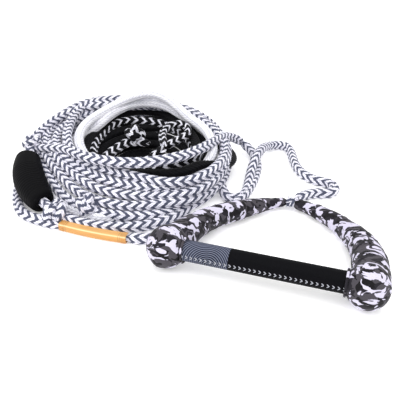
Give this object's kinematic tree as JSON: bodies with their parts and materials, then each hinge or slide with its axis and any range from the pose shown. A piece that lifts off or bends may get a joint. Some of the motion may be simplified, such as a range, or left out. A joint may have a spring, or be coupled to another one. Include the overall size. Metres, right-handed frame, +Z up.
{
  "type": "tow rope handle",
  "caption": "Wakesurf tow rope with a straight foam-grip bar, padded bridle, loosely coiled thick braided rope, sliding float and sleeve.",
  "frame": {"origin": "on the surface it lies on, under the middle of the handle without its rope", "axes": "+X along the bar, to the right seen from the rider; +Y from the bar to the tow rope; +Z up"},
  "size_m": [0.6254, 0.449, 0.0986],
  "materials": {
    "bar_aluminium": "brushed tube, hidden by the grip",
    "grip_grey": "matt slate-grey foam with fine contour lines",
    "grip_black": "matt black foam, stitched seam",
    "plug_nylon": "moulded, satin",
    "rope_inner": "braided load rope",
    "cover_camo": "neoprene with jersey face, black, charcoal, grey and white camouflage",
    "foam": "closed-cell foam",
    "rope_white_grey": "hollow braid, white and slate-grey chevrons",
    "rope_white": "hollow braid, white",
    "rope_black": "hollow braid, black",
    "rope_black_white": "hollow braid, black with white zigzags",
    "float_black": "moulded foam with contour ridges",
    "sleeve_gold": "gold satin"
  },
  "bodies": {
    "root": {"apex_splice": "cover_camo", "bridle_rope": "rope_inner", "coil_black": "rope_black", "coil_black_white": "rope_black_white", "coil_grey": "rope_white_grey", "coil_white": "rope_white", "knot_eye": "rope_black_white", "knot_grey": "rope_white_grey", "knot_lower": "rope_white_grey", "knot_upper": "rope_white_grey", "leg_cover_left": "cover_camo", "leg_cover_right": "cover_camo", "leg_foam_left": "foam", "leg_foam_right": "foam", "marker_sleeve": "sleeve_gold", "pad_cover_left": "cover_camo", "pad_cover_right": "cover_camo", "pad_foam_left": "foam", "pad_foam_right": "foam", "rope_float_turn": "rope_white_grey", "rope_lead": "rope_white_grey", "rope_outer_turn": "rope_white_grey", "sleeve_band_left": "sleeve_gold", "sleeve_band_right": "sleeve_gold", "tow_loop": "rope_black_white"},
    "bar": {"bar_tube": "bar_aluminium", "grip_sleeve_grey": "grip_grey", "grip_sleeve_black": "grip_black", "end_plug_left": "plug_nylon", "end_plug_right": "plug_nylon"},
    "float": {"rope_float": "float_black"}
  },
  "joints": [
    {"name": "bar_spin", "type": "hinge", "parent": "root", "child": "bar", "pos_m": [0, -0.089, 0.029], "axis": [1, 0, 0], "continuous": true},
    {"name": "float_slide", "type": "hinge", "parent": "root", "child": "float", "pos_m": [-0.2566, 0.1056, 0.0706], "axis": [0, -0.3123, 0.95], "range_deg": [-1.5, 1.5]}
  ]
}
